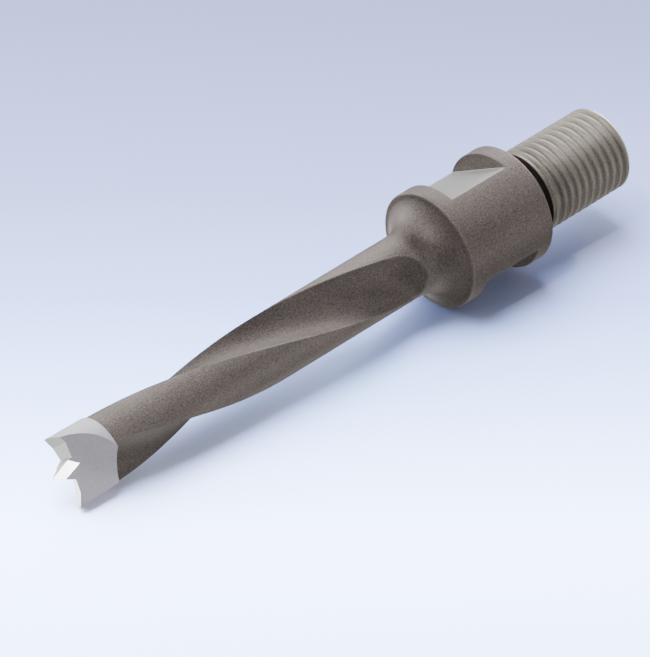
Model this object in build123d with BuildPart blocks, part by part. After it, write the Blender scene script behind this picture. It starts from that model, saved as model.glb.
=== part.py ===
from build123d import *
import os
from math import asin, cos, radians, sin, sqrt, tan

os.makedirs("parts", exist_ok=True)

# Dowel drill bit with a threaded shank, standing on the shank's end with its tip up.
# The origin is on the axis, in the shank's end face. The wrench flats face +Y and -Y.

# Threaded shank: the thread's outer cylinder, then a relief groove
thread_diameter = 10.0
thread_length = 12.4
thread_pitch = 1.0
groove_length = 2.1
groove_depth_past_root = 0.15
groove_wall_lean = 15.0
end_chamfer = 0.4

# Collar with two milled wrench flats between round flanges
collar_diameter = 14.0
collar_length = 12.3
collar_edge_chamfer = 0.25
flat_length = 8.1
across_flats = 10.0

# Shaft with two right-hand helical flutes
shaft_diameter = 7.5
shaft_length = 48.3
cove_radius = 4.0
helix_lead = 92.9
flute_angle = 98.0
flute_web = 3.3
flute_bias = 5.0
flute_start_angle = 101.6
runout_gap = 3.75
runout_radius = 5.6

# Solid carbide cutting head, brazed flat onto the shaft
head_diameter = 8.0
head_back_taper = 0.2
lip_angle = 106.6
lip_height = 4.25
lip_rise = 0.3
spur_height = 5.3
spur_width = 1.25
spur_setback = 0.5
spur_bevel_foot = 0.42
relief_angle = 17.0
relief_skew = 5.0

# Centre point: a four-sided pyramid of two back facets and two thinning facets.
# Each facet has its turn from the lip and its lean from the axis.
point_height = 6.6
back_facet_turn = -22.7
back_facet_lean = 24.9
thinning_turn = 80.0
thinning_lean = 14.0
thinning_depth = 3.52
thinning_shift = 0.09
thinning_side_angles = (139.0, 199.7)

# Head gullet, at four heights from the joint to the tip, each a share of the lip height.
# Each has the angles from the lip of its two edges, then the radius and angle of its floor's middle.
gullet_joint = (0.0, 0.5, 80.5, 2.72, 40.5)
gullet_middle = (0.5, 1.0, 126.0, 1.4, 66.0)
gullet_lip = (1.04, 0.0, 147.5, 0.66, 84.0)
gullet_tip = (1.7, -1.0, 152.0, 0.5, 90.0)

# How far cutters run past the surfaces they leave
overrun = 1.0

# Heights along the axis, from the shank's end face
groove_z = thread_length
seat_z = groove_z + groove_length
collar_top = seat_z + collar_length
joint_z = collar_top + shaft_length
thread_radius = thread_diameter / 2
collar_radius = collar_diameter / 2
shaft_radius = shaft_diameter / 2
head_radius = head_diameter / 2

# Depth of a metric external thread is this share of its pitch
thread_depth_share = 0.6134
thread_depth = thread_depth_share * thread_pitch
groove_radius = thread_radius - thread_depth - groove_depth_past_root
groove_wall_length = (thread_radius - groove_radius) * tan(radians(groove_wall_lean))


def turned_plane(z, angle):
    """Section plane across the axis at height z, its first direction turned by angle from +X."""
    return Plane(origin=(0, 0, z), x_dir=(cos(radians(angle)), sin(radians(angle)), 0), z_dir=(0, 0, 1))


def side_plane(plane):
    """Upright plane through the axis, with the plane's first direction and height as its two directions."""
    return Plane(origin=plane.origin, x_dir=plane.x_dir, z_dir=-plane.y_dir)


def polar(radius, angle):
    """Point in a section plane."""
    return (radius * cos(radians(angle)), radius * sin(radians(angle)))


def concave_section(plane, rim_radius, first, last, floor_radius, floor_angle):
    """One section of a cutter: a concave floor between two rays, closed outside the rim."""
    middle = (first + last) / 2
    outside = rim_radius + 2 * overrun
    with BuildSketch(plane) as section:
        with BuildLine():
            floor = ThreePointArc(polar(rim_radius, first), polar(floor_radius, floor_angle), polar(rim_radius, last))
            start_out = Line(floor @ 0, polar(outside, first))
            end_out = Line(floor @ 1, polar(outside, last))
            ThreePointArc(start_out @ 1, polar(outside, middle), end_out @ 1)
        make_face()
    return section.sketch


# Steel body: threaded shank, groove, collar, cove and shaft, turned from one bar
cove_rise = collar_radius - collar_edge_chamfer - shaft_radius
cove_length = sqrt(cove_radius**2 - (cove_radius - cove_rise) ** 2)
cove_turn = asin(cove_length / cove_radius) / 2
cove_end = collar_top + cove_length
cove_middle = (
    shaft_radius + cove_radius * (1 - cos(cove_turn)),
    cove_end - cove_radius * sin(cove_turn),
)

flute_end = collar_top + runout_gap
flute_depth = shaft_radius - flute_web / 2
runout_length = sqrt(runout_radius**2 - (runout_radius - flute_depth) ** 2)
flute_full_end = flute_end + runout_length
turn_per_mm = 360 / helix_lead
turn_per_section = 16.0
flute_start = joint_z + overrun
flute_steps = round((flute_start - flute_full_end) * turn_per_mm / turn_per_section)
flute_stations = [
    flute_start + (flute_full_end - flute_start) * step / flute_steps
    for step in range(flute_steps)
]
runout_steps = 5
runout_overrun = 0.12 * runout_length
runout_step = (runout_length + runout_overrun) / runout_steps
flute_stations += [flute_full_end - runout_step * step for step in range(runout_steps + 1)]

with BuildPart() as steel_body:
    with BuildSketch(Plane.XZ):
        with BuildLine():
            outline = Polyline(
                (0, 0),
                (thread_radius - end_chamfer, 0),
                (thread_radius, end_chamfer),
                (thread_radius, groove_z),
                (groove_radius, groove_z + groove_wall_length),
                (groove_radius, seat_z),
                (collar_radius - collar_edge_chamfer, seat_z),
                (collar_radius, seat_z + collar_edge_chamfer),
                (collar_radius, collar_top - collar_edge_chamfer),
                (shaft_radius + cove_rise, collar_top),
            )
            cove = ThreePointArc(outline @ 1, cove_middle, (shaft_radius, cove_end))
            Polyline(
                cove @ 1,
                (shaft_radius, joint_z),
                (0, joint_z),
                outline @ 0,
            )
        make_face()
    revolve(axis=Axis.Z)

    # Wrench flats, milled between the flanges
    flat_middle = seat_z + collar_length / 2
    for facing in (1, -1):
        with BuildSketch(Plane(
            origin=(0, facing * across_flats / 2, flat_middle), x_dir=(1, 0, 0), z_dir=(0, facing, 0)
        )):
            Rectangle(collar_diameter + overrun, flat_length)
        extrude(amount=collar_radius, mode=Mode.SUBTRACT)

    # Helical flutes, each a concave section carried round the axis and lifted out at its end
    for turn in (0, 180):
        sections = []
        for z in flute_stations:
            into_runout = max(0.0, flute_full_end - z)
            lift = runout_radius - sqrt(runout_radius**2 - into_runout**2)
            leading = flute_start_angle + turn + (z - joint_z) * turn_per_mm
            sections.append(concave_section(
                turned_plane(z, leading), shaft_radius + lift, 0, flute_angle,
                flute_web / 2 + lift, flute_angle / 2 + flute_bias,
            ))
        loft(sections=sections, mode=Mode.SUBTRACT)

steel_body.part.label = "steel_body"
export_step(steel_body.part, "parts/steel_body.step")


# Carbide head, built in its own frame: first direction along the lip, height from the joint to the tip
stock_height = point_height + overrun / 4
lip_outer_radius = head_radius - spur_width
relief_drop = tan(radians(relief_angle))
point_slope = tan(radians(back_facet_lean)) / cos(radians(back_facet_turn))
point_foot = point_slope * (point_height - lip_height)
point_stock = 0.5
lip_slope = lip_rise / (lip_outer_radius - point_foot)
bevel_foot = lip_height + spur_bevel_foot
bevel_slope = (spur_height - bevel_foot) / spur_setback
spur_slope = (spur_height - lip_height - lip_rise) / spur_width


def head_direction(plane, across, ahead, up):
    """Direction given along the lip, ahead of the lip and up to the tip."""
    return plane.x_dir * across + plane.y_dir * ahead + plane.z_dir * up


def facet_plane(plane, turn_angle, lean_angle):
    """Plane through the centre point's tip, its first direction running down the facet."""
    turn_rad, lean_rad = radians(turn_angle), radians(lean_angle)
    return Plane(
        origin=plane.origin + plane.z_dir * point_height,
        x_dir=head_direction(plane, cos(turn_rad) * sin(lean_rad), sin(turn_rad) * sin(lean_rad), -cos(lean_rad)),
        z_dir=head_direction(plane, cos(turn_rad) * cos(lean_rad), sin(turn_rad) * cos(lean_rad), sin(lean_rad)),
    )


with BuildPart() as carbide_head:
    # Round stock, slightly slimmer at the joint
    with BuildSketch(Plane.XZ):
        Polygon(
            (0, joint_z),
            (head_radius - head_back_taper / 2, joint_z),
            (head_radius, joint_z + spur_height),
            (head_radius, joint_z + stock_height),
            (0, joint_z + stock_height),
            align=None,
        )
    revolve(axis=Axis.Z)

    for turn in (0, 180):
        side = turned_plane(joint_z, lip_angle + turn)

        # Flank behind the lip, with the centre point on one end and the spur on the other
        flank_way = head_direction(side, -tan(radians(relief_skew)), -1, -relief_drop)
        with BuildSketch(side_plane(side)):
            Polygon(
                (point_stock - overrun * point_slope, point_height + overrun),
                (point_stock + point_foot, lip_height + point_stock * lip_slope),
                (lip_outer_radius, lip_height + lip_rise),
                (head_radius, spur_height),
                (head_radius + 2 * overrun, spur_height + 2 * overrun * spur_slope),
                (head_radius + 2 * overrun, stock_height + 2 * overrun),
                (point_stock - overrun * point_slope, stock_height + 2 * overrun),
                align=None,
            )
        extrude(amount=head_diameter, dir=flank_way, both=True, mode=Mode.SUBTRACT)

        # Bevel on the spur's front, so that its peak stands behind the lip
        with BuildSketch(Plane(
            origin=side.origin + side.x_dir * lip_outer_radius, x_dir=side.y_dir, z_dir=side.x_dir
        )):
            Polygon(
                (-2 * spur_setback, spur_height + spur_setback * bevel_slope),
                (2 * spur_setback, bevel_foot - 2 * spur_setback * bevel_slope),
                (2 * spur_setback, spur_height + spur_setback * bevel_slope),
                align=None,
            )
        extrude(amount=spur_width + overrun, mode=Mode.SUBTRACT)

        # Back facet of the centre point, cut along the line where it meets the flank
        lip_way = head_direction(side, 1, 0, lip_slope)
        facet_foot = lip_way.cross(flank_way).cross(facet_plane(side, back_facet_turn, back_facet_lean).z_dir)
        with BuildSketch(side_plane(side)):
            Polygon(
                (-2 * overrun * point_slope, point_height + 2 * overrun),
                (point_foot, lip_height),
                (point_foot + 2 * point_stock, lip_height + 2 * point_stock * lip_slope),
                (point_foot + 2 * point_stock, point_height + 2 * overrun),
                align=None,
            )
        extrude(amount=head_radius, dir=facet_foot, both=True, mode=Mode.SUBTRACT)

        # Chip gullet in front of the lip
        sections = [
            concave_section(side.offset(share * lip_height), head_radius, first, last, radius, angle)
            for share, first, last, radius, angle in (gullet_joint, gullet_middle, gullet_lip, gullet_tip)
        ]
        loft(sections=sections, mode=Mode.SUBTRACT)

        # Thinning facet, ground into the web in front of the lip up to the tip
        with BuildSketch(facet_plane(side, thinning_turn, thinning_lean)):
            corner = (thinning_depth, thinning_shift)
            sides = [
                (corner[0] + stock_height * cos(radians(a)), corner[1] + stock_height * sin(radians(a)))
                for a in thinning_side_angles
            ]
            Polygon(corner, *sides, align=None)
        extrude(amount=head_radius, mode=Mode.SUBTRACT)

carbide_head.part.label = "carbide_head"
export_step(carbide_head.part, "parts/carbide_head.step")
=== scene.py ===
import bmesh
import bpy
import numpy as np
from mathutils import Matrix, Vector


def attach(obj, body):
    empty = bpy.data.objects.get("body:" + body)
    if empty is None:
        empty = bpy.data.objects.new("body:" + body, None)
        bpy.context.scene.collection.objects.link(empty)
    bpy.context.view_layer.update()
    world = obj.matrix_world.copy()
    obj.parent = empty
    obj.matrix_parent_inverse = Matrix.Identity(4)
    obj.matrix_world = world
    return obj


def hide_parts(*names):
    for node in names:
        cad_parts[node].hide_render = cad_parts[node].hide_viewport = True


# Looks of a dowel drill bit. It stands on its shank's end along +Z, in metres.
# The picture shows it lying, so the camera is rolled and the stage leans with it.

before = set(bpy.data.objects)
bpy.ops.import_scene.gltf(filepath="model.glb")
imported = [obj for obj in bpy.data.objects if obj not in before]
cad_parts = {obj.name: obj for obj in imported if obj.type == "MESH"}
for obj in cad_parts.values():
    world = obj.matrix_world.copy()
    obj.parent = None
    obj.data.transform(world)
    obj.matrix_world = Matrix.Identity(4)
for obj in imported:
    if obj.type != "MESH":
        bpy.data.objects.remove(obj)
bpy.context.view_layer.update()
mm = 0.001
print("frame loaded")


# Maths on a node's output through plain operators
class Signal:
    def __init__(self, paint, socket):
        self.paint = paint
        self.socket = socket

    def join(self, operation, *values):
        return self.paint.node("ShaderNodeMath", {"operation": operation}, dict(enumerate(values)))

    def __add__(self, other):
        return self.join("ADD", self, other)

    def __radd__(self, other):
        return self.join("ADD", other, self)

    def __sub__(self, other):
        return self.join("SUBTRACT", self, other)

    def __rsub__(self, other):
        return self.join("SUBTRACT", other, self)

    def __mul__(self, other):
        return self.join("MULTIPLY", self, other)

    def __rmul__(self, other):
        return self.join("MULTIPLY", other, self)

    def __abs__(self):
        return self.join("ABSOLUTE", self)

    # Rises smoothly from 0 to 1 as the signal goes from low to high
    def rise(self, low, high):
        settings = {"interpolation_type": "SMOOTHSTEP"}
        values = {"Value": self, "From Min": low, "From Max": high}
        return self.paint.node("ShaderNodeMapRange", settings, values)

    # Falls smoothly from 1 to 0 as the signal goes from low to high
    def fall(self, low, high):
        return 1.0 - self.rise(low, high)


# One material and the nodes in it
class Paint:
    def __init__(self, name):
        self.material = bpy.data.materials.new(name)
        self.material.use_nodes = True
        self.tree = self.material.node_tree
        self.tree.nodes.clear()

    def node(self, kind, settings, values, output=0):
        made = self.tree.nodes.new(kind)
        for key, value in settings.items():
            setattr(made, key, value)
        for key, value in values.items():
            if isinstance(value, Signal):
                self.tree.links.new(value.socket, made.inputs[key])
            else:
                made.inputs[key].default_value = value
        return Signal(self, made.outputs[output])

    def vectorMath(self, operation, values, output="Vector"):
        return self.node("ShaderNodeVectorMath", {"operation": operation}, dict(enumerate(values)), output)

    # Object coordinates in millimetres, stretched along each axis
    def place(self, stretch=(1.0, 1.0, 1.0)):
        spot = self.node("ShaderNodeTexCoord", {}, {}, "Object")
        return self.vectorMath("MULTIPLY", [spot, tuple(part / mm for part in stretch)])

    def axis(self, place, name):
        return self.node("ShaderNodeSeparateXYZ", {}, {0: place}, name)

    def noise(self, place, size, roughness=0.5):
        values = {"Vector": place, "Scale": 1.0 / size, "Detail": 2.0, "Roughness": roughness}
        return self.node("ShaderNodeTexNoise", {"noise_dimensions": "3D"}, values, "Fac")

    def mixColour(self, share, first, second):
        settings = {"data_type": "RGBA"}
        return self.node("ShaderNodeMix", settings, {0: share, 6: first, 7: second}, 2)

    def bump(self, height, distance):
        return self.node("ShaderNodeBump", {}, {"Height": height, "Distance": distance * mm})

    def finish(self, shader):
        out = self.tree.nodes.new("ShaderNodeOutputMaterial")
        self.tree.links.new(shader.socket, out.inputs["Surface"])
        return self.material


# Steel of five kinds: the fine-blasted body, the lands of the shaft (lighter partly from burnishing,
# partly as painted shade that leaves the flutes darker), the milled wrench flats, the rolled shank
# with a painted highlight on its end's rim, and the relief groove's floor, painted near black as
# shade under the collar. Height, reach along Y and distance from the axis tell them apart.
def steelMaterial(look):
    paint = Paint(look["name"])
    place = paint.place()
    height = paint.axis(place, "Z")
    reach = abs(paint.axis(place, "Y"))
    around = paint.vectorMath("LENGTH", [paint.place((1.0, 1.0, 0.0))], "Value")
    grain = paint.noise(place, look["grainSize"], look["grainFineness"])
    patch = paint.noise(place, look["patchSize"])
    # Lands lighter than the flutes: partly burnishing, partly painted shade that leaves the flutes darker
    land = around.rise(*look["landRadii"]) * height.rise(*look["landHeights"])
    low, high = look["flatHeights"]
    flat = reach.rise(*look["flatInside"]) * reach.fall(*look["flatOutside"])
    flat = flat * height.rise(low, low + look["flatEdge"]) * height.fall(high - look["flatEdge"], high)
    shank = height.fall(*look["shankEnd"])
    # The relief groove's floor is painted near black as the collar's shade
    groove = height.rise(*look["grooveStart"])
    # The shank end's rim is painted near white as a highlight
    rim = height.fall(*look["rimHighlightEnd"])
    # The thread's roots are darkened with painted shade
    root = around.fall(*look["rootRadii"])
    # The shank darkens towards the collar with painted shade
    neck = height.rise(*look["neckHeights"])
    tone = (grain - 0.5) * look["grainTone"] + (patch - 0.5) * look["patchTone"] + 0.5
    # Lighter rings at the collar's edges: partly wear, partly a painted edge highlight
    for edge in look["wearAndHighlightEdges"]:
        wearAndHighlight = abs(height - edge).fall(*look["wearAndHighlightReach"]) * around.rise(*look["wearAndHighlightRadii"])
        tone = tone + wearAndHighlight * look["wearAndHighlightTone"]
    colour = paint.mixColour(tone, look["dark"], look["light"])
    colour = paint.mixColour(land, colour, paint.mixColour(tone, look["landDark"], look["landLight"]))
    colour = paint.mixColour(flat, colour, paint.mixColour(tone, look["flatDark"], look["flatLight"]))
    shankTone = (tone - 0.5) * look["shankGrain"] + 0.5 - root * look["rootShadeTone"] - neck * look["neckShadeTone"]
    shankColour = paint.mixColour(shankTone, look["shankDark"], look["shankLight"])
    shankColour = paint.mixColour(groove, shankColour, look["grooveShadeColour"])
    shankColour = paint.mixColour(rim, shankColour, look["rimHighlightColour"])
    rough = look["roughness"] + (grain - 0.5) * look["grainRoughness"]
    values = {
        "Base Color": paint.mixColour(shank, colour, shankColour),
        "Roughness": rough + flat * look["flatRoughness"] + shank * look["shankRoughness"],
        "Metallic": look["metallic"] + shank * look["shankMetallic"],
        "Normal": paint.bump(grain, look["grainHeight"]),
        "Sheen Weight": look["sheen"],
        "Sheen Roughness": look["sheenRoughness"],
    }
    return paint.finish(paint.node("ShaderNodeBsdfPrincipled", {}, values))


# Ground carbide: pale grey with faint grinding lines. The piece's facet attribute is 1 on the
# finely ground facets of the centre point and 0 elsewhere; there the colour turns near white,
# partly for the finer grind and partly as a painted highlight.
def carbideMaterial(look):
    paint = Paint(look["name"])
    lines = paint.noise(paint.place(look["lineStretch"]), look["lineSize"])
    cloud = paint.noise(paint.place(), look["cloudSize"])
    polishAndHighlight = paint.node("ShaderNodeAttribute", {"attribute_name": "polishAndHighlight"}, {}, "Fac")
    bright = polishAndHighlight.rise(*look["brightShare"])
    lines = (lines - 0.5) * (1.0 - bright * look["lineLoss"])
    colour = paint.mixColour(cloud, look["dark"], look["light"])
    rough = look["roughness"] + lines * look["lineRoughness"] + bright * look["facetRoughness"]
    values = {
        # Near white on the marked facets: finer grind and a painted highlight
        "Base Color": paint.mixColour(polishAndHighlight, colour, look["facetGrindAndHighlightColour"]),
        "Roughness": rough,
        "Metallic": look["metallic"] + bright * look["facetMetallic"],
        "Normal": paint.bump(lines, look["lineHeight"]),
    }
    return paint.finish(paint.node("ShaderNodeBsdfPrincipled", {}, values))


# Smaller of two radii with a rounded change from one to the other
def softMin(first, second, width):
    gap = np.abs(first - second)
    return np.minimum(first, second) - np.maximum(width - gap, 0.0) ** 2 / (4 * width)


# Outline through corner points (radius, height, setback, step): each corner is eased by a
# quadratic curve between points set back from it, and each straight run is cut into steps
def easedOutline(corners, curveSteps):
    points = np.array([corner[:2] for corner in corners], float)
    made = [points[0][None]]
    for index in range(1, len(points)):
        here = points[index]
        setback, step = corners[index][2:]
        start = made[-1][-1]
        way = here - start
        stop = here - way / np.hypot(*way) * setback
        count = max(1, int(np.ceil(np.hypot(*(stop - start)) / step)))
        share = np.arange(1, count + 1)[:, None] / count
        made.append(start + (stop - start) * share)
        if setback > 0 and index + 1 < len(points):
            onward = points[index + 1] - here
            leave = here + onward / np.hypot(*onward) * setback
            t = np.arange(1, curveSteps + 1)[:, None] / curveSteps
            made.append((1 - t) ** 2 * stop + 2 * t * (1 - t) * here + t**2 * leave)
    return np.concatenate(made)


# Closed skin over a grid of rings, with a pole point at each end
def ringMesh(name, rings, bottomPole, topPole):
    rowCount, columnCount = rings.shape[:2]
    verts = np.concatenate([rings.reshape(-1, 3), [bottomPole], [topPole]]) * mm
    index = np.arange(rowCount * columnCount).reshape(rowCount, columnCount)
    onward = np.roll(index, -1, axis=1)
    quads = np.stack([index[:-1], onward[:-1], onward[1:], index[1:]], axis=-1).reshape(-1, 4)
    bottom = rowCount * columnCount
    lower = np.stack([np.full(columnCount, bottom), onward[0], index[0]], axis=-1)
    upper = np.stack([np.full(columnCount, bottom + 1), index[-1], onward[-1]], axis=-1)
    mesh = bpy.data.meshes.new(name)
    mesh.from_pydata(verts.tolist(), [], quads.tolist() + lower.tolist() + upper.tolist())
    mesh.polygons.foreach_set("use_smooth", np.ones(len(mesh.polygons), bool))
    mesh.update()
    piece = bpy.data.objects.new(name, mesh)
    bpy.context.scene.collection.objects.link(piece)
    return piece


# Steel body: shank with its thread, collar, cove and fluted shaft, in millimetres and degrees
body = {
    "threadRadius": 5.0,
    "threadEnd": 12.4,
    "threadPitch": 1.09,
    "threadDepth": 0.32,
    "threadSharpness": 2.2,
    "threadFade": (-0.15, 0.75, 11.1, 12.3),  # heights between which the depth comes in, then goes
    "grooveRadius": 4.2366,
    "grooveWall": 0.2045,
    "seat": 14.5,
    "collarTop": 26.8,
    "collarRadius": 7.0,
    "flatDistance": 5.0,
    "slotLow": 16.6,
    "slotHigh": 24.7,
    "coveRadius": 4.0,
    "coveRim": 6.75,
    "shaftRadius": 3.75,
    "joint": 75.1,
    "jointEase": 0.06,
    "helixLead": 92.9,
    "fluteAngle": 98.0,
    "fluteWeb": 3.3,
    "fluteBias": 5.0,
    "fluteStartAngle": 101.6,
    "runoutGap": 3.75,
    "runoutRadius": 5.6,
    "fluteEase": 0.07,
    "flatEase": 0.1,
    "coveRows": 26,
    "runoutRows": 78,
    "shaftRows": 76,
    "fluteStep": 1.4,
    "landStep": 3.2,
}

# Heights and lengths that follow from the values
coveDrop = body["coveRadius"] - (body["coveRim"] - body["shaftRadius"])
coveLength = np.sqrt(body["coveRadius"] ** 2 - coveDrop**2)
coveEnd = body["collarTop"] + coveLength
fluteEnd = body["collarTop"] + body["runoutGap"]
fluteDepth = body["shaftRadius"] - body["fluteWeb"] / 2
runoutLength = np.sqrt(body["runoutRadius"] ** 2 - (body["runoutRadius"] - fluteDepth) ** 2)
fullEnd = fluteEnd + runoutLength
cutterReach = runoutLength * 1.12  # a little past where the run-out leaves the shaft

# Rows at a slot's wall: (offset along the axis into the slot, how far the row may sink below the
# collar, how far it stays above the flat). Deep rows sink as far as the flat lets them.
deep = 99.0
slotWall = np.array([
    (-0.1, 0.0, 0.0),
    (-0.045, 0.012, 0.0),
    (-0.014, 0.045, 0.0),
    (0.0, 0.1, 0.0),
    (0.0005, 0.13, 0.0),
    (0.0035, deep, 0.09),
    (0.004, deep, 0.06),
    (0.018, deep, 0.018),
    (0.05, deep, 0.004),
    (0.1, deep, 0.0),
])
slotClear = 0.13  # plain rows this near a wall make way for its own


# Outline of the turned body as rows of (radius, height), from the shank's end to the joint
def bodyOutline():
    thread = body["threadRadius"]
    groove = body["grooveRadius"]
    collar = body["collarRadius"]
    shaft = body["shaftRadius"]
    joint = body["joint"]
    # The cove leaves the shaft along it and climbs to the collar's front
    turn = np.arcsin(coveLength / body["coveRadius"]) * np.linspace(0.93, 0.0, body["coveRows"])
    coveR = shaft + body["coveRadius"] * (1 - np.cos(turn))
    coveZ = coveEnd - body["coveRadius"] * np.sin(turn)
    turned = easedOutline([
        (1.5, 0.0, 0.0, 1.0),
        (thread - 0.45, 0.0, 0.12, 1.0),
        (thread, 0.42, 0.1, 0.1),
        (thread, body["threadEnd"], 0.08, 0.1),
        (groove, body["threadEnd"] + body["grooveWall"], 0.15, 0.08),
        (groove, body["seat"], 0.12, 0.2),
        (collar, body["seat"], 0.24, 0.5),
        (collar, body["slotLow"] - 0.35, 0.0, 0.4),
        (collar, body["slotHigh"] + 0.35, 0.0, 0.6),
        (collar, body["collarTop"], 0.2, 0.4),
        (coveR[0], coveZ[0], 0.0, 0.1),
    ], 5)
    cove = np.stack([coveR, coveZ], axis=1)[1:]
    runout = np.linspace(coveEnd, fullEnd, body["runoutRows"])[1:]
    plain = np.linspace(fullEnd, joint - 2 * body["jointEase"], body["shaftRows"])[1:]
    straight = np.concatenate([runout, plain])
    straight = np.stack([np.full(len(straight), shaft), straight], axis=1)
    ease = np.radians([30.0, 60.0, 90.0])
    easeR = shaft - body["jointEase"] * (1 - np.cos(ease))
    easeZ = joint - body["jointEase"] * (1 - np.sin(ease))
    cap = [[2.6, joint], [1.2, joint]]
    return np.concatenate([turned, cove, straight, np.stack([easeR, easeZ], axis=1), cap])


# Radii, heights and the slots' two depths of all rows, with the rows of the slots' walls put in
def bodyRows():
    low, high = body["slotLow"], body["slotHigh"]
    collar = body["collarRadius"]
    outline = bodyOutline()
    nearWall = np.abs(outline[:, 1:] - [low, high]).min(axis=1) <= slotClear
    outline = outline[~nearWall | (outline[:, 0] < collar - 0.5)]
    sunk = np.where((outline[:, 1] > low) & (outline[:, 1] < high), deep, 0.0)
    rows = np.column_stack([outline, sunk, np.zeros(len(outline))])
    for place, sign in ((low, 1), (high, -1)):
        heights = place + sign * slotWall[:, 0]
        wall = np.column_stack([np.full(len(slotWall), collar), heights, slotWall[:, 1:]])[::sign]
        onCollar = (rows[:, 1] < place) & (rows[:, 1] > body["seat"] + 0.1)
        rows = np.insert(rows, np.flatnonzero(onCollar)[-1] + 1, wall, axis=0)
    return rows.T[:, :, None]


# Turn of the columns at a height: they follow the helix on the shaft and run straight below it
def turnAt(height):
    below = np.maximum(height, fluteEnd) - body["joint"]
    return body["fluteStartAngle"] + below * (360 / body["helixLead"])


# Angles of the columns from a flute's first rim, crowded at the edges of flutes and flats
def bodyColumns():
    flute = body["fluteAngle"]
    flatHalf = np.degrees(np.arccos(body["flatDistance"] / body["collarRadius"]))
    edges = [0.0, flute, 180.0, 180.0 + flute]
    edges += [side + sign * flatHalf - turnAt(fluteEnd) for side in (90.0, 270.0) for sign in (-1.0, 1.0)]
    edges = np.mod(np.array(edges), 360.0)
    inFlute = np.arange(0.0, flute, body["fluteStep"])
    onLand = np.arange(flute, 180.0, body["landStep"])
    even = np.concatenate([inFlute, onLand, inFlute + 180.0, onLand + 180.0])
    apart = np.abs((even[:, None] - edges[None] + 180.0) % 360.0 - 180.0).min(axis=1)
    close = (edges[:, None] + np.array([-1.2, -0.6, -0.25, 0.0, 0.25, 0.6, 1.2])).ravel() % 360.0
    return np.sort(np.concatenate([even[apart > 1.5], close]))


# Radii of the flute's circle seen from the axis: the circle passes through a rim point, the
# floor's middle and the other rim point, all lifted together where the cutter ran out
def fluteRadius(angles, lift):
    rim = body["shaftRadius"] + lift
    floor = body["fluteWeb"] / 2 + lift
    last = np.radians(body["fluteAngle"])
    middle = last / 2 + np.radians(body["fluteBias"])
    firstX, firstY = rim, np.zeros_like(rim)
    midX, midY = floor * np.cos(middle), floor * np.sin(middle)
    endX, endY = rim * np.cos(last), rim * np.sin(last)
    det = 2 * (firstX * (midY - endY) + midX * (endY - firstY) + endX * (firstY - midY))
    sizes = [firstX**2 + firstY**2, midX**2 + midY**2, endX**2 + endY**2]
    centreX = (sizes[0] * (midY - endY) + sizes[1] * (endY - firstY) + sizes[2] * (firstY - midY)) / det
    centreY = (sizes[0] * (endX - midX) + sizes[1] * (firstX - endX) + sizes[2] * (midX - firstX)) / det
    radiusSquared = (firstX - centreX) ** 2 + centreY**2
    along = centreX * np.cos(angles) + centreY * np.sin(angles)
    inside = along**2 - (centreX**2 + centreY**2 - radiusSquared)
    near = along - np.sqrt(np.maximum(inside, 0.0))
    return np.where((inside > 0) & (near > 0), near, np.inf)


# Flutes, each cut by its circle where the cutter still reaches the shaft
def cutFlutes(surface, height, columns):
    into = np.clip(fullEnd - height, 0.0, cutterReach)
    lift = body["runoutRadius"] - np.sqrt(body["runoutRadius"] ** 2 - into**2)
    for side in (0.0, 180.0):
        local = np.radians((columns - side + 180.0) % 360.0 - 180.0)
        cut = np.where(height > fullEnd - cutterReach, fluteRadius(local, lift), np.inf)
        eased = softMin(surface, np.where(np.isfinite(cut), cut, deep), body["fluteEase"])
        surface = np.where(np.isfinite(cut), eased, surface)
    return surface


# Wrench flats: the plane's distance over the sine of the angle
def cutFlats(surface, angle, sunk, over):
    plane = body["flatDistance"] / np.maximum(np.abs(np.sin(angle)), 0.5)
    flat = softMin(surface, plane, body["flatEase"])
    milled = np.minimum(np.maximum(surface - sunk, flat + over), surface)
    return np.where(sunk > 0, milled, surface)


# Thread: a right-hand helical groove whose depth is a rounded wave of the turn
def cutThread(surface, height, angle):
    wave = 0.5 + 0.5 * np.cos(2 * np.pi * (height / body["threadPitch"] - angle / (2 * np.pi)))
    fade = np.interp(height, body["threadFade"], [0.0, 1.0, 1.0, 0.0])
    depth = body["threadDepth"] * fade * wave ** body["threadSharpness"]
    threaded = softMin(surface, body["threadRadius"] + 0.012 - depth, 0.05)
    onThread = (height > 0.001) & (height < body["threadEnd"] - 0.06)
    return np.where(onThread, threaded, surface)


def makeBody():
    radius, height, sunk, over = bodyRows()
    columns = bodyColumns()
    angle = np.radians(columns + turnAt(height))
    surface = np.repeat(radius, len(columns), axis=1)
    surface = cutFlutes(surface, height, columns)
    surface = cutFlats(surface, angle, sunk, over)
    surface = cutThread(surface, height, angle)
    heights = np.repeat(height, len(columns), axis=1)
    rings = np.stack([surface * np.cos(angle), surface * np.sin(angle), heights], axis=-1)
    return ringMesh("steelBody", rings, (0.0, 0.0, 0.0), (0.0, 0.0, body["joint"]))


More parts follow.
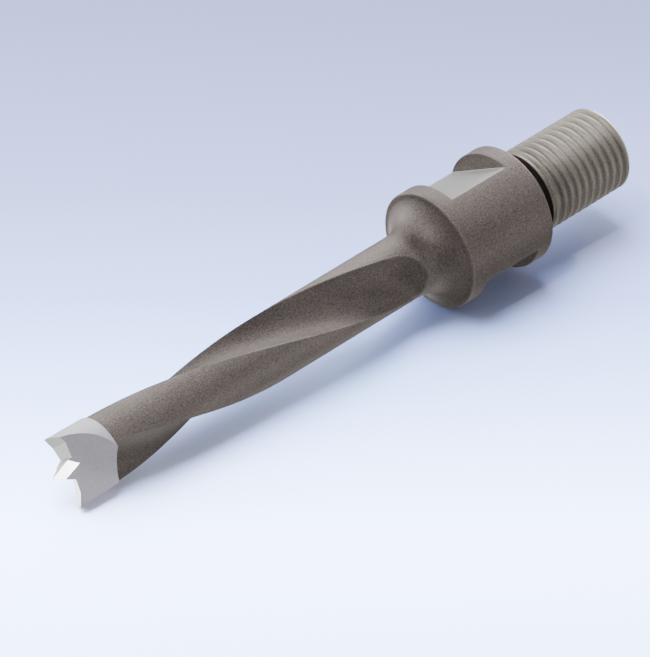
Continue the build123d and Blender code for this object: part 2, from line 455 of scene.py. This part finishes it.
# Pairs of heights, radii and reaches, in millimetres, are where one kind of steel fades into another
steelLook = {
    "name": "blastedSteel",
    "dark": (0.045, 0.034, 0.032, 1.0),
    "light": (0.228, 0.194, 0.183, 1.0),
    "landDark": (0.085, 0.069, 0.065, 1.0),
    "landLight": (0.31, 0.268, 0.253, 1.0),
    "landRadii": (3.55, 3.74),
    "landHeights": (30.0, 31.5),
    "wearAndHighlightEdges": [14.55, 26.7],
    "wearAndHighlightReach": (0.04, 0.22),
    "wearAndHighlightRadii": (6.3, 6.8),
    "wearAndHighlightTone": 0.18,
    "flatDark": (0.34, 0.343, 0.35, 1.0),
    "flatLight": (0.52, 0.523, 0.53, 1.0),
    "flatHeights": (16.6, 24.7),
    "flatEdge": 0.03,
    "flatInside": (4.95, 4.985),
    "flatOutside": (5.015, 5.045),
    "flatRoughness": -0.12,
    "shankDark": (0.11, 0.097, 0.085, 1.0),
    "shankLight": (0.37, 0.34, 0.305, 1.0),
    "shankEnd": (14.25, 14.4),
    "shankGrain": 0.55,
    "shankRoughness": -0.06,
    "shankMetallic": 0.1,
    "rootRadii": (4.72, 4.94),
    "rootShadeTone": 0.3,
    "neckHeights": (7.0, 12.3),
    "neckShadeTone": 0.3,
    "rimHighlightColour": (0.95, 0.94, 0.92, 1.0),
    "rimHighlightEnd": (0.42, 0.56),
    "grooveShadeColour": (0.035, 0.027, 0.025, 1.0),
    "grooveStart": (12.36, 12.44),
    "roughness": 0.52,
    "metallic": 0.6,
    "sheen": 0.25,
    "sheenRoughness": 0.3,
    "grainSize": 0.18,
    "grainFineness": 0.6,
    "grainTone": 1.6,
    "grainRoughness": 0.2,
    "grainHeight": 0.03,
    "patchSize": 5.0,
    "patchTone": 0.25,
}

steelBody = makeBody()
steelBody.data.materials.append(steelMaterial(steelLook))
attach(steelBody, "root")
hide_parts("steel_body")
print("steel body done")


# Carbide head: the CAD head welded, with its true edges kept sharp and lightly bevelled. The
# facets, given by their directions, are the finely ground ones of the centre point, marked for a
# near-white colour that is partly their grind and partly a painted highlight.
head = {
    "weld": 0.0005,
    "sharpAngle": 12.0,
    "bevel": 0.05,
    "bevelSegments": 2,
    "facets": [(0.964, 0.112, 0.242), (0.313, -0.095, 0.945), (0.347, -0.421, 0.838)],
    "facetSpread": 1.5,
}


def makeHead():
    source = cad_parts["carbide_head"]
    mesh = source.data.copy()
    mesh.name = "carbideHead"
    mesh.materials.clear()
    work = bmesh.new()
    work.from_mesh(mesh)
    bmesh.ops.remove_doubles(work, verts=work.verts, dist=head["weld"] * mm)
    bmesh.ops.dissolve_degenerate(work, edges=work.edges, dist=head["weld"] * mm)
    limit = float(np.radians(head["sharpAngle"]))
    polishAndHighlight = work.faces.layers.float.new("polishAndHighlight")
    spread = np.cos(np.radians(head["facetSpread"]))
    for face in work.faces:
        face.smooth = True
        for normal in head["facets"]:
            facing = abs(face.normal.x * normal[0] + face.normal.y * normal[1]) + face.normal.z * normal[2]
            if facing > spread:
                face[polishAndHighlight] = 1.0
    for edge in work.edges:
        edge.smooth = len(edge.link_faces) == 2 and edge.calc_face_angle(0.0) < limit
    work.to_mesh(mesh)
    work.free()
    mesh.update()
    piece = bpy.data.objects.new("carbideHead", mesh)
    bpy.context.scene.collection.objects.link(piece)
    rounding = piece.modifiers.new("rounding", "BEVEL")
    rounding.width = head["bevel"] * mm
    rounding.segments = head["bevelSegments"]
    rounding.limit_method = "ANGLE"
    rounding.angle_limit = limit
    rounding.harden_normals = True
    return piece


carbideLook = {
    "name": "groundCarbide",
    "dark": (0.62, 0.61, 0.70, 1.0),
    "light": (0.82, 0.81, 0.91, 1.0),
    "cloudSize": 0.3,
    "roughness": 0.55,
    "metallic": 0.3,
    "lineSize": 0.2,
    "lineStretch": (1.0, 1.0, 0.2),
    "lineRoughness": 0.12,
    "lineHeight": 0.003,
    "lineLoss": 0.8,
    "brightShare": (0.6, 0.9),
    "facetGrindAndHighlightColour": (0.92, 0.92, 0.94, 1.0),
    "facetRoughness": -0.38,
    "facetMetallic": 0.38,
}

carbideHead = makeHead()
carbideHead.data.materials.append(carbideMaterial(carbideLook))
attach(carbideHead, "root")
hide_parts("carbide_head")
print("carbide head done")


# Camera: its place in millimetres and the directions of the picture's right, up and back
cameraPlan = {
    "place": (488.935, 136.503, 359.875),
    "right": (0.576024, -0.377931, -0.724820),
    "up": (0.032959, 0.896721, -0.441368),
    "back": (0.816768, 0.230349, 0.528989),
    "lens": 304.051,
    "sensor": 36.0,
    "clip": (0.05, 20.0),
}

right, up, back = (Vector(cameraPlan[name]) for name in ("right", "up", "back"))
lens = bpy.data.cameras.new("camera")
lens.lens = cameraPlan["lens"]
lens.sensor_width = cameraPlan["sensor"]
lens.clip_start, lens.clip_end = cameraPlan["clip"]
camera = bpy.data.objects.new("camera", lens)
turned = Matrix((right, up, back)).transposed().to_4x4()
turned.translation = Vector(cameraPlan["place"]) * mm
camera.matrix_world = turned
bpy.context.scene.collection.objects.link(camera)
bpy.context.scene.camera = camera
print("camera done")


# Stage: a pale plane that the lying drill would touch with its collar's rim and its head. Down is
# the angle round the axis, rim the touching radius and height, and the tones go by picture height,
# dark far away and pale near: a painted fall-off of the light across the plane.
stageLook = {
    "down": -122.5,
    "rim": (7.0, 26.5),
    "reach": 1500.0,
    "tones": [
        (-76.0, (0.715, 0.795, 0.88, 1.0)),
        (-62.0, (0.88, 0.90, 0.95, 1.0)),
        (-56.0, (0.84, 0.85, 0.96, 1.0)),
        (-44.0, (0.60, 0.62, 0.80, 1.0)),
        (-35.0, (0.44, 0.49, 0.66, 1.0)),
        (-17.0, (0.25, 0.265, 0.40, 1.0)),
        (1.5, (0.181, 0.181, 0.25, 1.0)),
        (21.0, (0.146, 0.142, 0.20, 1.0)),
        (39.0, (0.119, 0.1175, 0.154, 1.0)),
        (90.0, (0.08, 0.08, 0.10, 1.0)),
    ],
}


# Tone runs from far to near along the picture's upright, laid into the plane, dark far away and
# pale near as a painted fall-off of light. From below the plane is clear.
def stageMaterial(normal):
    paint = Paint("paleStage")
    lay = np.array(cameraPlan["up"]) - normal * (np.array(cameraPlan["up"]) @ normal)
    lay /= np.linalg.norm(lay)
    height = paint.vectorMath("DOT_PRODUCT", [paint.place(), tuple(lay)], "Value")
    tones = stageLook["tones"]
    colour = tones[0][1]
    for (low, _), (high, tone) in zip(tones, tones[1:]):
        share = paint.node("ShaderNodeMapRange", {}, {"Value": height, "From Min": low, "From Max": high})
        colour = paint.mixColour(share, colour, tone)
    values = {"Base Color": colour, "Roughness": 1.0, "Specular IOR Level": 0.0}
    solid = paint.node("ShaderNodeBsdfPrincipled", {}, values)
    clear = paint.node("ShaderNodeBsdfTransparent", {}, {})
    below = paint.node("ShaderNodeNewGeometry", {}, {}, "Backfacing")
    return paint.finish(paint.node("ShaderNodeMixShader", {}, {0: below, 1: solid, 2: clear}))


def makeStage():
    down = np.radians(stageLook["down"])
    out = np.array([np.cos(down), np.sin(down), 0.0])
    points = np.array([vert.co[:] for vert in carbideHead.data.vertices]) / mm
    rimR, rimZ = stageLook["rim"]
    slope = ((points @ out - rimR) / (points[:, 2] - rimZ)).max()
    along = np.array([out[0] * slope, out[1] * slope, 1.0])
    along /= np.linalg.norm(along)
    normal = slope * np.array([0.0, 0.0, 1.0]) - out
    normal /= np.linalg.norm(normal)
    across = np.cross(along, normal)
    middle = out * rimR + np.array([0.0, 0.0, rimZ])
    reach = stageLook["reach"]
    corners = [middle + (a * along + b * across) * reach for a, b in ((-1, -1), (1, -1), (1, 1), (-1, 1))]
    faceNormal = np.cross(corners[1] - corners[0], corners[2] - corners[1])
    if faceNormal @ normal < 0:
        corners = corners[::-1]
    mesh = bpy.data.meshes.new("stage")
    mesh.from_pydata([list(corner * mm) for corner in corners], [], [(0, 1, 2, 3)])
    mesh.materials.append(stageMaterial(normal))
    piece = bpy.data.objects.new("stage", mesh)
    bpy.context.scene.collection.objects.link(piece)
    piece.visible_diffuse = False
    piece.visible_glossy = False
    piece.visible_shadow = False
    return piece


stage = makeStage()
print("stage done")


# Lights: name, way from the drill by its share of the picture's right, up and back, size, power
# and tint. The aim is the height on the axis at which they point, in millimetres.
white = (1.0, 1.0, 1.0)
warm = (1.0, 0.99, 0.97)
blue = (0.5, 0.66, 1.0)
lightPlan = {
    "distance": 620.0,
    "aim": 40.0,
    "drill": [
        ("top", (0.34, 0.83, -0.45), 420.0, 5.7, warm),
        ("back", (-0.34, 0.83, -0.45), 420.0, 1.3, warm),
        ("left", (-0.83, 0.34, -0.45), 420.0, 3.15, warm),
        ("frontLeft", (-0.67, 0.67, 0.3), 420.0, 1.5, warm),
        ("frontRight", (0.67, 0.67, 0.3), 420.0, 0.85, warm),
        ("front", (-0.52, 0.3, 0.8), 420.0, 1.3, warm),
        ("right", (0.9, -0.3, 0.1), 420.0, 0.85, warm),
        ("lowRight", (0.55, -0.8, 0.0), 420.0, 0.5, warm),
        ("low", (0.0, -0.95, 0.3), 420.0, 0.36, warm),
        ("lowLeft", (-0.67, -0.67, 0.3), 420.0, 0.4, warm),
        ("under", (0.34, -0.83, -0.45), 420.0, 0.32, warm),
        ("edge", (0.3, -0.7, -0.65), 420.0, 0.5, warm),
        ("flank", (-0.7, -0.71, 0.03), 260.0, 0.06, white),
        ("spur", (-0.35, -0.91, -0.24), 260.0, 0.14, white),
        ("facet", (0.6, 0.02, 0.8), 70.0, 0.55, white),
        ("behind", (-0.43, -0.18, -0.88), 300.0, 1.0, white),
    ],
    "stage": [
        ("stageDome", (0.0, 0.77, 0.63), 2200.0, 5.0, (0.6, 0.72, 1.0)),
        ("stageKey", (-0.26, 0.85, 0.46), 520.0, 29.0, blue),
        ("stageWide", (-0.52, 0.78, 0.14), 1200.0, 43.0, blue),
    ],
    "shank": ("shankSpot", (-0.25, 0.43, 0.75), 40.0, 60.0, (1.0, 0.98, 0.94)),
    "shankAim": 2.6,
    "shankCone": 1.9,
    "shankBlend": 0.6,
    "worldTint": (0.98, 0.99, 1.0, 1.0),
    "worldStrength": 0.06,
}


def makeLight(plan, kind="AREA", aim=lightPlan["aim"]):
    name, way, size, power, tint = plan
    lamp = bpy.data.lights.new(name, kind)
    lamp.energy = power
    lamp.color = tint
    if kind == "AREA":
        lamp.shape = "DISK"
        lamp.size = size * mm
    else:
        lamp.shadow_soft_size = size / 2 * mm
    holder = bpy.data.objects.new(name, lamp)
    way = (right * way[0] + up * way[1] + back * way[2]).normalized()
    holder.location = Vector((0.0, 0.0, aim * mm)) + way * lightPlan["distance"] * mm
    holder.rotation_mode = "QUATERNION"
    holder.rotation_quaternion = (-way).to_track_quat("-Z", "Y")
    bpy.context.scene.collection.objects.link(holder)
    return holder


for plan in lightPlan["drill"]:
    makeLight(plan)

# A narrow spot that picks out the top of the threaded shank
shankSpot = makeLight(lightPlan["shank"], "SPOT", lightPlan["shankAim"])
shankSpot.data.spot_size = np.radians(lightPlan["shankCone"])
shankSpot.data.spot_blend = lightPlan["shankBlend"]

# The stage has lights of its own, which make its shadow and leave the drill's tones alone
stageOnly = bpy.data.collections.new("stageOnly")
stageOnly.objects.link(stage)
for plan in lightPlan["stage"]:
    makeLight(plan).light_linking.receiver_collection = stageOnly

world = bpy.data.worlds.new("studio")
world.use_nodes = True
world.node_tree.nodes["Background"].inputs["Color"].default_value = lightPlan["worldTint"]
world.node_tree.nodes["Background"].inputs["Strength"].default_value = lightPlan["worldStrength"]
bpy.context.scene.world = world
print("lights done")
